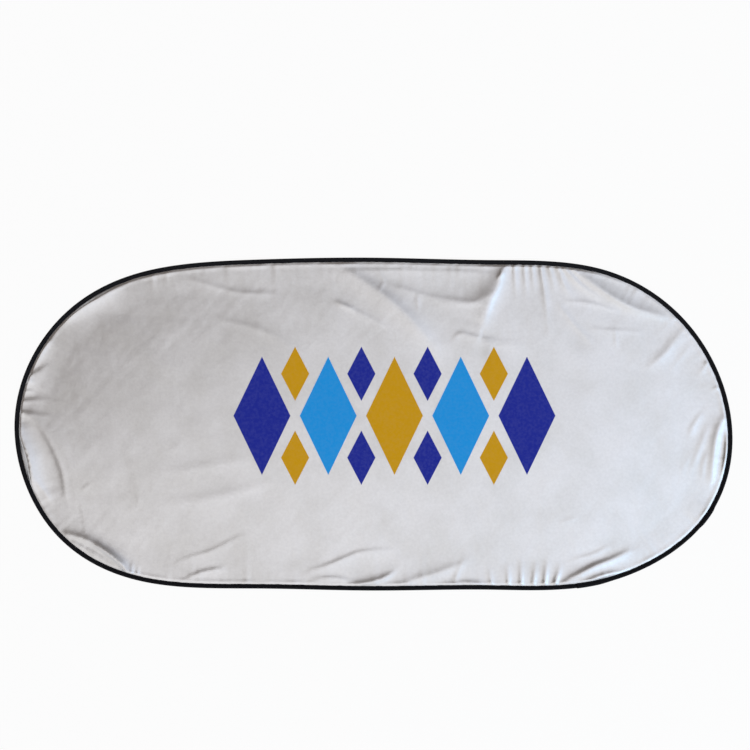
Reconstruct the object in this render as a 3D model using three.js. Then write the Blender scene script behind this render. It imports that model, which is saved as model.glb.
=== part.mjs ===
// Twist-fold sunshade for a car windscreen, lying open on a table.
//
// A hoop of flat spring-steel band holds a panel of silver-coated taffeta.
// The band's two ends butt inside a crimped steel ferrule. A black tape is
// folded over the band and the panel's edge and sewn through all round. The
// tape closes on itself with a short lap on the lower long side.
//
// Frame: X along the shade, Y across it, Z up, millimetres. The origin is on
// the table under the middle of the shade.

import * as THREE from 'three';

// Driving dimensions: the outline
const LENGTH = 1300;            // over the two rounded ends
const WIDTH = 603;              // over the middle of the long sides

// Driving dimensions: the hoop
const BAND_THICKNESS = 0.9;     // spring band, measured across the hoop
const BAND_HEIGHT = 3.2;        // spring band, measured upwards
const BAND_BUTT_GAP = 0.6;      // between the band's two ends
const FERRULE_LENGTH = 24;
const FERRULE_WALL = 0.5;
const CRIMP_DEPTH = 0.2;        // grooves that the crimping tool leaves
const CRIMP_WIDTH = 2.4;
const CRIMP_SLOPE = 1;
const CRIMP_INSET = 5;          // from each end of the ferrule to its groove

// Driving dimensions: the tape
const BINDING_WIDTH = 8.5;      // as seen from above
const TAPE_THICKNESS = 0.5;
const POCKET_SLACK = 1.9;       // room in the fold beyond the band
const PINCH_RUN = 1.9;          // the two legs of the tape come together over this length
const LAP_LENGTH = 34;          // overlap of the tape's two ends
const LAP_RAMP = 36;            // length over which the tape settles beside the lap
const FERRULE_RAMP = 14;        // the same beside the ferrule

// Driving dimensions: the panel and its print
const FABRIC_THICKNESS = 0.35;
const PANEL_HEIGHT = 1.4;       // middle of the cloth above the table, away from the rim
const SETTLE_DEPTH = 60;        // the cloth comes down to that height over this depth
const FLAT_DEPTH = 120;         // inside this depth the cloth lies flat
const INK_THICKNESS = 0.15;
const PRINT_CENTRE_X = 38;
const PRINT_CENTRE_Y = 15;
const PRINT_PITCH = 120;
const LARGE_LOZENGE = { halfWidth: 52, halfHeight: 108 };
const SMALL_LOZENGE = { halfWidth: 26, halfHeight: 50 };
const SMALL_ROW_OFFSET = 76;

// Clearance between pieces that touch on the real shade
const GAP = 0.3;

// Places round the rim, as shares of the way round. Zero is the right-hand end
// and the count runs anticlockwise, seen from above.
const LAP_START = 0.861;
const FERRULE_PLACE = 0.946;

// Spacing of the stations that the curved pieces are built on
const STRIDE = 0.5;
const STATION_TURN = 0.09;      // radians that the hoop may turn from one station to the next
const SIDE_STEP = 66;
const DETAIL_STEP = 7;
const DETAIL_MARGIN = 6;
const FOLD_STEP = 12;
const PLAIN_STEP = 42;
const FOLD_MARGIN = 14;
const RING_DEPTHS = [15, 22, 30, 40, 52, 68, 90];
const FOLD_SAMPLES = 14;
const HOOP_DIVISIONS = 3200;    // for measuring the way round
const FOLD_CLEAR = 0.5;         // cloth beside the tape that stays level
const FOLD_RISE = 5;            // folds reach their full height over this depth

const SILVER = 0xd3d4d8;
const TAPE_BLACK = 0x14141c;
const STEEL = 0x9a9ca0;
const NAVY = 0x232d8c;
const SKY = 0x2690d8;
const OCHRE = 0xc8960f;

// The pocket of the tape, worked out from what lies in it
const bandDepth = TAPE_THICKNESS + GAP;
const bandInnerDepth = bandDepth + BAND_THICKNESS;
const pocketHalf = BAND_HEIGHT / 2 + GAP + TAPE_THICKNESS;
const pocketEnd = bandInnerDepth + POCKET_SLACK;
const pinchDepth = pocketEnd + PINCH_RUN;
const legHalf = FABRIC_THICKNESS / 2 + GAP + TAPE_THICKNESS;
const fabricEdge = bandInnerDepth + 2 * GAP + FERRULE_WALL;
const lapStep = TAPE_THICKNESS + GAP;
const ferruleStep = FERRULE_WALL + GAP;

// The hoop and the folds were drawn at this size, and are stretched to fit
const DRAWN = new THREE.Vector2(1300, 603);

// The hoop is a bent spring, so it is drawn with a spline: a closed cubic curve that
// is pulled towards these corners, anticlockwise from the right-hand end. They give
// it the slight unevenness of a thin hoop held by slack cloth.
const HOOP_CORNERS = [
  [672, -3], [590, 189], [422, 299], [208, 294],
  [-2, 303], [-204, 298], [-428, 289], [-591, 197],
  [-678, 6], [-602, -209], [-427, -301], [-205, -295],
  [-2, -304], [210, -296], [414, -309], [623, -197],
];

// Folds of the slack cloth. The hoop pulls the panel tight along straight lines
// from one part of the rim to another, and the cloth between such a line and the
// rim stands up in ridges. Each has corners of its crest line, its height, and how
// far it reaches to the left and to the right of the crest, seen along the line.
const FOLDS = [
  { crest: [[-638, -29], [-624, -60], [-620, -82], [-623, -97]], height: 9, left: 21, right: 5 },
  { crest: [[-628, 24], [-587, -13], [-558, -74], [-548, -131]], height: 4.2, left: 34, right: 10 },
  { crest: [[-628, 87], [-596, 103]], height: 1.8, left: 6, right: 6 },
  { crest: [[-632, 67], [-576, 73]], height: 1.8, left: 6, right: 6 },
  { crest: [[-635, 44], [-590, 42]], height: 1.6, left: 6, right: 6 },
  { crest: [[-538, -204], [-504, -219], [-471, -240], [-451, -257]], height: 3.6, left: 5, right: 11 },
  { crest: [[-543, -187], [-498, -197], [-458, -222], [-430, -256]], height: 3.8, left: 28, right: 7 },
  { crest: [[-434, -274], [-429, -256]], height: 2, left: 5, right: 5 },
  { crest: [[-339, -230], [-303, -222], [-240, -199]], height: 1.2, left: 6, right: 7 },
  { crest: [[220, -288], [218, -248]], height: 1.8, left: 5, right: 6 },
  { crest: [[246, -287], [246, -245]], height: 2, left: 5, right: 6 },
  { crest: [[270, -286], [269, -250]], height: 2.3, left: 5, right: 6 },
  { crest: [[291, -286], [293, -245]], height: 1.9, left: 5, right: 6 },
  { crest: [[313, -285], [316, -238]], height: 2.5, left: 5, right: 6 },
  { crest: [[331, -284], [336, -245]], height: 2.3, left: 5, right: 6 },
  { crest: [[354, -279], [398, -256], [451, -228]], height: 5, left: 7, right: 14 },
  { crest: [[377, -278], [412, -267], [440, -262]], height: 2.4, left: 5, right: 6 },
  { crest: [[602, -158], [592, -174]], height: 1.4, left: 5, right: 5 },
  { crest: [[634, 18], [619, -10], [613, -49], [615, -88]], height: 8, left: 9, right: 11 },
  { crest: [[599, 1], [591, -38], [592, -82]], height: 3.2, left: 7, right: 7 },
  { crest: [[605, 109], [598, 98], [586, 86]], height: 2.4, left: 5, right: 6 },
  { crest: [[554, 172], [538, 153], [519, 132]], height: 2.8, left: 6, right: 8 },
  { crest: [[418, 269], [464, 250], [505, 225], [531, 207]], height: 4.5, left: 5, right: 16 },
  { crest: [[462, 206], [492, 186], [524, 168]], height: 3, left: 15, right: 28 },
  { crest: [[348, 283], [378, 260], [408, 234], [441, 213]], height: 3, left: 7, right: 6 },
  { crest: [[326, 285], [337, 262], [355, 237], [376, 224]], height: 2.6, left: 6, right: 6 },
  { crest: [[238, 283], [224, 254], [209, 221], [200, 187]], height: 4.2, left: 12, right: 6 },
  { crest: [[-26, 275], [24, 248], [80, 206]], height: 2.8, left: 30, right: 13 },
];

// The closed spline through a ring of corners. Each stretch of it is weighed out
// between the four corners round it.
class Hoop extends THREE.Curve {
  constructor(corners) {
    super();
    this.corners = corners;
    this.arcLengthDivisions = HOOP_DIVISIONS;
  }

  weigh(t, weightsAt, target) {
    const along = (t - Math.floor(t)) * this.corners.length;
    const first = Math.floor(along);
    target.set(0, 0);
    weightsAt(along - first).forEach((weight, step) => {
      const corner = this.corners[(first + step + this.corners.length - 1) % this.corners.length];
      target.addScaledVector(corner, weight);
    });
    return target;
  }

  getPoint(t, target = new THREE.Vector2()) {
    const weights = (f) => [(1 - f) ** 3, 4 - 6 * f ** 2 + 3 * f ** 3, 1 + 3 * (f + f ** 2 - f ** 3), f ** 3];
    return this.weigh(t, weights, target).divideScalar(6);
  }

  getTangent(t, target = new THREE.Vector2()) {
    const slopes = (f) => [-((1 - f) ** 2), 3 * f ** 2 - 4 * f, 1 + 2 * f - 3 * f ** 2, f ** 2];
    return this.weigh(t, slopes, target).normalize();
  }
}

// The hoop as drawn, and then fitted to the length and width exactly
function fittedHoop() {
  const corners = HOOP_CORNERS.map((corner) => new THREE.Vector2(...corner));
  const box = new THREE.Box2().setFromPoints(new Hoop(corners).getPoints(HOOP_DIVISIONS));
  const middle = box.getCenter(new THREE.Vector2());
  const fit = new THREE.Vector2(LENGTH, WIDTH).divide(box.getSize(new THREE.Vector2()));
  return new Hoop(corners.map((corner) => corner.sub(middle).multiply(fit)));
}

const hoop = fittedHoop();
const perimeter = hoop.getLength();

// Point of the outline, moved inwards by a depth
function rimPoint(place, depth) {
  const share = place - Math.floor(place);
  const along = hoop.getTangentAt(share);
  const inward = new THREE.Vector2(-along.y, along.x);
  return hoop.getPointAt(share).addScaledVector(inward, depth);
}

// Shortest way round the rim from one place to another, in millimetres
function wayRound(from, to) {
  const share = to - from;
  return (share - Math.round(share)) * perimeter;
}

function smoothStep(low, high, value) {
  return THREE.MathUtils.smoothstep(value, low, high);
}

// One between start and end, falling to zero over a ramp on each side
function plateau(distance, start, end, ramp) {
  return smoothStep(start - ramp, start, distance) * (1 - smoothStep(end, end + ramp, distance));
}

// How much the lap and the ferrule lift the hoop above its usual height
function lapShare(place) {
  const fromLap = wayRound(LAP_START, place);
  return plateau(fromLap, -TAPE_THICKNESS, LAP_LENGTH + TAPE_THICKNESS, LAP_RAMP);
}

function ferruleShare(place) {
  const half = FERRULE_LENGTH / 2 + GAP;
  return plateau(wayRound(FERRULE_PLACE, place), -half, half, FERRULE_RAMP);
}

function hoopHeight(place) {
  return pocketHalf + lapStep * lapShare(place) + ferruleStep * ferruleShare(place);
}

// Stations round the rim. A walk in short strides goes all the way round, and sets a
// station where the last one lies further back than spacingAt allows there.
function stationsRound(spacingAt) {
  const strides = Math.ceil(perimeter / STRIDE);
  const places = [0];
  for (let stride = 1; stride < strides; stride += 1) {
    const place = stride / strides;
    if ((place - places.at(-1)) * perimeter >= spacingAt(place)) {
      places.push(place);
    }
  }
  return places;
}

// Whether the lap or the ferrule changes the hoop's height here
function isLifted(place) {
  const lap = wayRound(LAP_START + LAP_LENGTH / 2 / perimeter, place);
  const lapReach = LAP_LENGTH / 2 + LAP_RAMP + DETAIL_MARGIN;
  const ferruleReach = FERRULE_LENGTH / 2 + FERRULE_RAMP + DETAIL_MARGIN;
  return Math.abs(lap) < lapReach || Math.abs(wayRound(FERRULE_PLACE, place)) < ferruleReach;
}

function hoopSpacing(place) {
  if (isLifted(place)) {
    return DETAIL_STEP;
  }
  const behind = SIDE_STEP / perimeter;
  const turn = hoop.getTangentAt(place).angleTo(hoop.getTangentAt((place + 1 - behind) % 1));
  return SIDE_STEP * Math.min(1, STATION_TURN / turn);
}

const hoopStations = stationsRound(hoopSpacing);

// The stations between two places, with those two as the ends
function stretch(start, end) {
  const turns = [...hoopStations, ...hoopStations.map((place) => place + 1)];
  const clear = TAPE_THICKNESS / perimeter;
  const between = turns.filter((place) => place > start + clear && place < end - clear);
  return [start, ...between, end];
}

// A closed skin over a row of loops. Each loop is { points, flat }: its corners in
// space, and the same corners on a plane, which are needed for the two end faces.
// In a ring of loops the last one joins the first and there are no end faces.
function skin(loops, ring = false) {
  const count = loops[0].points.length;
  const positions = loops.flatMap((loop) => loop.points.flatMap((point) => point.toArray()));
  const faces = [];
  const last = ring ? loops.length : loops.length - 1;
  for (let row = 0; row < last; row += 1) {
    const here = row * count;
    const there = ((row + 1) % loops.length) * count;
    for (let side = 0; side < count; side += 1) {
      const next = (side + 1) % count;
      faces.push(here + side, here + next, there + next);
      faces.push(here + side, there + next, there + side);
    }
  }
  if (!ring) {
    const final = (loops.length - 1) * count;
    for (const [a, b, c] of THREE.ShapeUtils.triangulateShape(loops[0].flat, [])) {
      faces.push(a, c, b);
    }
    for (const [a, b, c] of THREE.ShapeUtils.triangulateShape(loops.at(-1).flat, [])) {
      faces.push(final + a, final + b, final + c);
    }
  }
  const geometry = new THREE.BufferGeometry();
  geometry.setAttribute('position', new THREE.Float32BufferAttribute(positions, 3));
  geometry.setIndex(faces);
  geometry.computeVertexNormals();
  return geometry;
}

// Places one section of the hoop, given as corners [depth, height above the middle]
function hoopLoop(place, section) {
  const middle = hoopHeight(place);
  const points = section.map(([depth, height]) => {
    const spot = rimPoint(place, depth);
    return new THREE.Vector3(spot.x, spot.y, middle + height);
  });
  return { points, flat: section.map(([depth, height]) => new THREE.Vector2(depth, height)) };
}

function rectangle(depth, width, halfHeight) {
  return [
    [depth, -halfHeight],
    [depth + width, -halfHeight],
    [depth + width, halfHeight],
    [depth, halfHeight],
  ];
}

// Section of the folded tape, open towards the panel. The swell makes room for the
// ferrule in the pocket alone, and the layer moves the whole fold outwards by one
// thickness, where the tape lies over itself.
function tapeSection(swell, layer) {
  const growth = swell + layer;
  const noseHalf = BAND_HEIGHT / 2 + growth;
  const corner = TAPE_THICKNESS + GAP;
  const slant = Math.SQRT1_2 * corner;
  const outside = [
    [-growth, noseHalf],
    [corner - slant - growth, noseHalf + slant],
    [corner - growth, noseHalf + corner],
    [pocketEnd, noseHalf + corner],
    [pinchDepth, legHalf + layer],
    [BINDING_WIDTH, legHalf + layer],
  ];
  const inside = [
    [BINDING_WIDTH, legHalf + layer - TAPE_THICKNESS],
    [pinchDepth, legHalf + layer - TAPE_THICKNESS],
    [pocketEnd, noseHalf + GAP],
    [corner - growth, noseHalf + GAP],
    [TAPE_THICKNESS - growth, noseHalf],
  ];
  const upper = [...outside, ...inside];
  const lower = upper.map(([depth, height]) => [depth, -height]);
  return [...lower, ...upper.reverse()];
}

// The tape starts on the outside of the lap, goes once round and ends inside it
function edgeBinding() {
  const overlap = LAP_LENGTH / perimeter;
  const settled = LAP_START + overlap + (LAP_RAMP + TAPE_THICKNESS) / perimeter;
  const loops = stretch(LAP_START, LAP_START + 1 + overlap).map((place) => {
    const layer = place < settled ? lapStep * lapShare(place) : 0;
    return hoopLoop(place, tapeSection(ferruleStep * ferruleShare(place), layer));
  });
  return skin(loops);
}

function frameBand() {
  const end = BAND_BUTT_GAP / 2 / perimeter;
  const section = rectangle(bandDepth, BAND_THICKNESS, BAND_HEIGHT / 2);
  const places = stretch(FERRULE_PLACE + end, FERRULE_PLACE + 1 - end);
  return skin(places.map((place) => hoopLoop(place, section)));
}

// The ferrule is a flat sleeve, bent with the band, with a groove near each end.
// Each loop runs along one outer corner of the sleeve and back along the inner one.
function bandFerrule() {
  const half = FERRULE_LENGTH / 2;
  const groove = half - CRIMP_INSET;
  const marks = [-half];
  for (const middle of [-groove, 0, groove]) {
    const edge = CRIMP_WIDTH / 2;
    marks.push(middle - edge - CRIMP_SLOPE, middle - edge, middle + edge, middle + edge + CRIMP_SLOPE);
  }
  marks.push(half);
  const isGroove = (mark) => Math.abs(Math.abs(mark) - groove) < CRIMP_WIDTH;
  const bore = rectangle(bandDepth - GAP, BAND_THICKNESS + 2 * GAP, BAND_HEIGHT / 2 + GAP);
  const outer = marks.map((mark) => {
    const wall = FERRULE_WALL - (isGroove(mark) ? CRIMP_DEPTH * grooveShare(mark, groove) : 0);
    const width = BAND_THICKNESS + 2 * (GAP + wall);
    const section = rectangle(bandDepth - GAP - wall, width, BAND_HEIGHT / 2 + GAP + wall);
    return hoopLoop(FERRULE_PLACE + mark / perimeter, section).points;
  });
  const inner = marks.map((mark) => hoopLoop(FERRULE_PLACE + mark / perimeter, bore).points);
  const loops = [3, 2, 1, 0].map((corner) => ({
    points: [
      ...outer.map((section) => section[corner]),
      ...inner.map((section) => section[corner]).reverse(),
    ],
  }));
  return skin(loops, true);
}

// One at the bottom of a crimping groove and zero beside it
function grooveShare(mark, groove) {
  return Math.abs(Math.abs(mark) - groove) <= CRIMP_WIDTH / 2 ? 1 : 0;
}

// Each crest line becomes a run of short steps on a smooth curve, and each fold grows
// with the width of the shade
const drawnFit = new THREE.Vector2(LENGTH, WIDTH).divide(DRAWN);
const crests = FOLDS.map(({ crest, height, left, right }) => {
  const corners = crest.map((corner) => new THREE.Vector2(...corner).multiply(drawnFit));
  return {
    height: height * drawnFit.y,
    left: left * drawnFit.y,
    right: right * drawnFit.y,
    corners,
    points: new THREE.SplineCurve(corners).getPoints(FOLD_SAMPLES),
  };
});

function foldHeight(fold, spot) {
  let nearest = 0;
  fold.points.forEach((point, index) => {
    if (point.distanceToSquared(spot) < fold.points[nearest].distanceToSquared(spot)) {
      nearest = index;
    }
  });
  const closest = fold.points[nearest];
  const before = fold.points[Math.max(nearest - 1, 0)];
  const after = fold.points[Math.min(nearest + 1, FOLD_SAMPLES)];
  const side = after.clone().sub(before).cross(spot.clone().sub(closest));
  const reach = side > 0 ? fold.left : fold.right;
  const along = Math.sin(Math.PI * (1 + nearest) / (2 + FOLD_SAMPLES));
  return fold.height * Math.sqrt(along) * Math.exp(-((closest.distanceTo(spot) / reach) ** 2));
}

// Height of the middle of the cloth at a place on the panel
function clothHeight(place, depth) {
  const spot = rimPoint(place, depth);
  const level = BINDING_WIDTH + FOLD_CLEAR;
  const settled = smoothStep(level, SETTLE_DEPTH, depth);
  const base = THREE.MathUtils.lerp(hoopHeight(place), PANEL_HEIGHT, settled);
  const free = smoothStep(level, level + FOLD_RISE, depth) * (1 - smoothStep(SETTLE_DEPTH, FLAT_DEPTH, depth));
  return base + free * crests.reduce((sum, fold) => sum + foldHeight(fold, spot), 0);
}

function panelSpacing(place) {
  if (isLifted(place)) {
    return DETAIL_STEP;
  }
  const rim = rimPoint(place, 0);
  const tangent = hoop.getTangentAt(place);
  const nearFold = crests.some((fold) => fold.corners.some((corner) => {
    const beside = corner.clone().sub(rim);
    return beside.length() < FLAT_DEPTH && Math.abs(beside.dot(tangent)) < FOLD_STEP + FOLD_MARGIN;
  }));
  return nearFold ? FOLD_STEP : PLAIN_STEP;
}

// The panel is built ring by ring: out along its underside and back along its top
function fabricPanel() {
  const places = stationsRound(panelSpacing);
  const depths = [fabricEdge, BINDING_WIDTH + FOLD_CLEAR, ...RING_DEPTHS, FLAT_DEPTH];
  const ring = (depth, offset) => {
    const points = places.map((place) => {
      const spot = rimPoint(place, depth);
      return new THREE.Vector3(spot.x, spot.y, clothHeight(place, depth) + offset);
    });
    return { points, flat: points.map((point) => new THREE.Vector2(point.x, point.y)) };
  };
  const under = depths.map((depth) => ring(depth, -FABRIC_THICKNESS / 2)).reverse();
  const over = depths.map((depth) => ring(depth, FABRIC_THICKNESS / 2));
  return skin([...under, ...over]);
}

function lozenge({ halfWidth, halfHeight }) {
  const shape = new THREE.Shape([
    new THREE.Vector2(halfWidth, 0),
    new THREE.Vector2(0, halfHeight),
    new THREE.Vector2(-halfWidth, 0),
    new THREE.Vector2(0, -halfHeight),
  ]);
  return new THREE.ExtrudeGeometry(shape, { depth: INK_THICKNESS, bevelEnabled: false });
}

function finish(color, roughness, metalness) {
  return new THREE.MeshStandardMaterial({ color, roughness, metalness });
}

const shade = new THREE.Group();

function addPiece(name, geometry, material, parent = shade) {
  const piece = new THREE.Mesh(geometry, material);
  piece.name = name;
  parent.add(piece);
  return piece;
}

const steel = finish(STEEL, 0.35, 0.9);
addPiece('fabric_panel', fabricPanel(), finish(SILVER, 0.45, 0.35));
addPiece('edge_binding', edgeBinding(), finish(TAPE_BLACK, 0.85, 0));
addPiece('frame_band', frameBand(), steel);
addPiece('band_ferrule', bandFerrule(), steel);

// The print: five tall lozenges in a row, with small ones in the notches between
const print = new THREE.Group();
print.position.set(PRINT_CENTRE_X, PRINT_CENTRE_Y, PANEL_HEIGHT + FABRIC_THICKNESS / 2 + GAP);
shade.add(print);

const navy = finish(NAVY, 0.6, 0);
const sky = finish(SKY, 0.6, 0);
const ochre = finish(OCHRE, 0.6, 0);

const largeInks = [navy, sky, ochre, sky, navy];
largeInks.forEach((ink, index) => {
  const piece = addPiece(`print_lozenge_${index + 1}`, lozenge(LARGE_LOZENGE), ink, print);
  piece.position.x = (index - (largeInks.length - 1) / 2) * PRINT_PITCH;
});

const smallInks = [ochre, navy, navy, ochre];
smallInks.forEach((ink, index) => {
  for (const [row, side] of [['upper', 1], ['lower', -1]]) {
    const piece = addPiece(`print_${row}_lozenge_${index + 1}`, lozenge(SMALL_LOZENGE), ink, print);
    piece.position.x = (index - (smallInks.length - 1) / 2) * PRINT_PITCH;
    piece.position.y = side * SMALL_ROW_OFFSET;
  }
});

export default shade;
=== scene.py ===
# %% [markdown]
# # A twist-fold sunshade for a windscreen
# The real thing is a panel of silver-coated cloth, held open by one hoop of flat spring
# steel. A black tape is folded over the hoop and the cloth's edge and sewn through. Here
# it lies open on a table, silver side up, and is looked at from straight above.
#
# The solids in the frame give every piece its size and place. This lesson dresses them:
# the cloth with its folds, the tape, the stitches, the print and the light. X runs along
# the shade, Y across it and Z up from the table. All lengths are in metres, and a value
# given in millimetres is multiplied by MM.

# %% Load the frame
import math

import bpy
import numpy as np
from mathutils.geometry import delaunay_2d_cdt
from mathutils.kdtree import KDTree
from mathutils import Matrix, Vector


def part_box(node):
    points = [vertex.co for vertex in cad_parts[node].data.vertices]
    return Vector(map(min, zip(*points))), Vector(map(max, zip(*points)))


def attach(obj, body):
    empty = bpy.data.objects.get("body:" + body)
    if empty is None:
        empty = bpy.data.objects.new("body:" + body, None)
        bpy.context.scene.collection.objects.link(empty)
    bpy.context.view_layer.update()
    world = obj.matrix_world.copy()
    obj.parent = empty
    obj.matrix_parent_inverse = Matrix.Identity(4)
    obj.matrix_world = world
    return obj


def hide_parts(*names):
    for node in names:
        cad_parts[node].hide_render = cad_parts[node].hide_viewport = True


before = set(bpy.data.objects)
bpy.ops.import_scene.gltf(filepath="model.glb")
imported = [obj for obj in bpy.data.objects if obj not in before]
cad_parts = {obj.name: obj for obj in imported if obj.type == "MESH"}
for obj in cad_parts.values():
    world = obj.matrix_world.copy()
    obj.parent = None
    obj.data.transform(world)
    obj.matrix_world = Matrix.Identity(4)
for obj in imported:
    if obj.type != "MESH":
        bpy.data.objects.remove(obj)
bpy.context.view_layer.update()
print("solids in the frame:", len(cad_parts))

# %% [markdown]
# ## Sizes
# The overall size is read from the frame, so the cloth and tape always fit the solids.
# The small sizes of the tape and band are those of the real pieces.

# %% Sizes
MM = 0.001
rim_low, rim_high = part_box("edge_binding")
LENGTH = rim_high[0] - rim_low[0]
WIDTH = rim_high[1] - rim_low[1]

TAPE_THICKNESS = 0.5 * MM
BAND_THICKNESS = 0.9 * MM
BAND_HEIGHT = 3.2 * MM
GAP = 0.3 * MM                  # clearance between pieces that touch
FERRULE_WALL = 0.5 * MM
FERRULE_LENGTH = 24 * MM
BINDING_WIDTH = 7.9 * MM
POCKET_SLACK = 1.9 * MM
PINCH_RUN = 1.9 * MM
LAP_LENGTH = 34 * MM
LAP_RAMP = 36 * MM
FERRULE_RAMP = 14 * MM
LAP_START = 0.861               # share of the way round the rim, from the right-hand end
FERRULE_PLACE = 0.946
PANEL_HEIGHT = 1.4 * MM         # middle of the cloth above the table
CLOTH_THICKNESS = 0.25 * MM

GROWTH = TAPE_THICKNESS + GAP   # what one more layer of tape, or the ferrule, adds
POCKET_HALF = BAND_HEIGHT / 2 + GAP + TAPE_THICKNESS
LEG_HALF = CLOTH_THICKNESS / 2 + GAP + TAPE_THICKNESS
CLOTH_EDGE = TAPE_THICKNESS + 3 * GAP + BAND_THICKNESS + FERRULE_WALL
print(f"shade {LENGTH / MM:.0f} x {WIDTH / MM:.0f} mm")

# %% [markdown]
# ## Camera
# The shade was photographed from straight above. The camera's distance follows from how
# many pixels the shade fills, and its place from where the shade's centre lies in the
# picture, so the two pictures can be compared region by region.

# %% Camera
PICTURE_SIDE = 750              # pixels
SHADE_PIXELS = 717              # length of the shade in the picture
CENTRE_PIXEL = (373.5, 424.0)   # where its centre lies, from the top left corner
LENS = 60 * MM
SENSOR = 36 * MM


def in_scene(name, data):
    """An object at the origin that shows the data."""
    made = bpy.data.objects.new(name, data)
    bpy.context.scene.collection.objects.link(made)
    return made


pixel = LENGTH / SHADE_PIXELS
camera_data = bpy.data.cameras.new("overhead_camera")
camera_data.lens = LENS / MM
camera_data.sensor_width = SENSOR / MM
camera_data.clip_end = 50
camera = in_scene("overhead_camera", camera_data)
camera.location = (
    (PICTURE_SIDE / 2 - CENTRE_PIXEL[0]) * pixel,
    (CENTRE_PIXEL[1] - PICTURE_SIDE / 2) * pixel,
    PICTURE_SIDE * pixel * LENS / SENSOR,
)
bpy.context.scene.camera = camera
print(f"camera {camera.location.z:.2f} m above the table")

# %% [markdown]
# ## The outline
# The hoop is a bent spring with slack cloth in it, so its ends aren't true circles and
# its sides aren't quite straight. A closed cubic spline draws such a shape from a few
# corners that pull it towards themselves, and it bends as smoothly as the spring does.
# One function gives the point at a place round the rim and a depth inside it. Another
# goes back from a point to its place and depth, by way of the nearest of many samples.

# %% The outline
HOOP_CORNERS = MM * np.array([
    (672, -3), (590, 189), (422, 299), (208, 294), (-2, 303), (-204, 298), (-428, 289), (-591, 197),
    (-678, 6), (-602, -209), (-427, -301), (-205, -295), (-2, -304), (210, -296), (414, -309), (623, -197),
])
SAMPLES = 3200


def spline(corners, along):
    """Points of the closed curve that is pulled towards the corners, and its direction."""
    first = np.floor(along).astype(int)
    f = (along - first)[..., None]
    around = [corners[(first + step) % len(corners)] for step in (-1, 0, 1, 2)]
    weights = [(1 - f) ** 3, 4 - 6 * f**2 + 3 * f**3, 1 + 3 * (f + f**2 - f**3), f**3]
    slopes = [-((1 - f) ** 2), 3 * f**2 - 4 * f, 1 + 2 * f - 3 * f**2, f**2]
    points = sum(weight * corner for weight, corner in zip(weights, around)) / 6
    direction = sum(slope * corner for slope, corner in zip(slopes, around))
    return points, direction / np.linalg.norm(direction, axis=-1, keepdims=True)


sample_along = np.arange(SAMPLES) * len(HOOP_CORNERS) / SAMPLES
drawn = spline(HOOP_CORNERS, sample_along)[0]
drawn_size = drawn.max(0) - drawn.min(0)
hoop = (HOOP_CORNERS - drawn.min(0) - drawn_size / 2) * (LENGTH, WIDTH) / drawn_size
rim_line, rim_direction = spline(hoop, sample_along)
rim_way = np.concatenate([[0], np.cumsum(np.hypot(*(np.roll(rim_line, -1, 0) - rim_line).T))])
PERIMETER = rim_way[-1]
rim_finder = KDTree(SAMPLES)
for number, point in enumerate(rim_line):
    rim_finder.insert((*point, 0), number)
rim_finder.balance()


def rim_points(share, depth):
    """Points on the outline, moved inwards by a depth."""
    number = np.interp(np.mod(share, 1.0) * PERIMETER, rim_way, np.arange(SAMPLES + 1))
    point, direction = spline(hoop, number * len(hoop) / SAMPLES)
    return point[..., 0] - depth * direction[..., 1], point[..., 1] + depth * direction[..., 0]


def rim_place(x, y):
    """Share of the way round the rim, and depth inside it, of each point."""
    nearest = np.array([rim_finder.find((*point, 0))[1] for point in zip(x, y)])
    off_x, off_y = (np.stack([x, y], -1) - rim_line[nearest]).T
    ahead_x, ahead_y = rim_direction[nearest].T
    way = rim_way[nearest] + off_x * ahead_x + off_y * ahead_y
    return np.mod(way / PERIMETER, 1.0), ahead_x * off_y - ahead_y * off_x


print(f"way round the rim {PERIMETER:.3f} m")

# %% [markdown]
# ## How high the hoop lies
# The hoop rests on the table. Where the tape laps over itself, and where the ferrule
# swells the fold, the pieces inside are lifted by one thickness. A smooth plateau says
# how much of that lift there is at each place.

# %% Height of the hoop


def smooth_step(low, high, value):
    t = np.clip((value - low) / (high - low), 0, 1)
    return t * t * (3 - 2 * t)


def way_round(start, share):
    """Shortest way round the rim from one place to others, in metres."""
    gap = share - start
    return (gap - np.round(gap)) * PERIMETER


def plateau(value, start, end, ramp):
    return smooth_step(start - ramp, start, value) * (1 - smooth_step(end, end + ramp, value))


def lap_share(share):
    return plateau(way_round(LAP_START, share), -TAPE_THICKNESS, LAP_LENGTH + TAPE_THICKNESS, LAP_RAMP)


def ferrule_share(share):
    half = FERRULE_LENGTH / 2 + GAP
    return plateau(way_round(FERRULE_PLACE, share), -half, half, FERRULE_RAMP)


def hoop_height(share):
    return POCKET_HALF + GROWTH * (lap_share(share) + ferrule_share(share))


print(f"hoop {POCKET_HALF / MM:.1f} mm up, and {GROWTH / MM:.1f} mm more at the lap")

# %% [markdown]
# ## Folds of the cloth
# The cloth is cut a little larger than the hoop. The hoop pulls it tight along straight
# lines between parts of its rim, and the cloth left over stands up as ridges beside the
# tape, as short puckers at the seam, and as faint creases from being packed. A ridge
# has a crest line, a height, and how far it reaches to the left and to the right of
# the crest, seen along the line from its first corner. A short reach makes a steep side.

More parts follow.
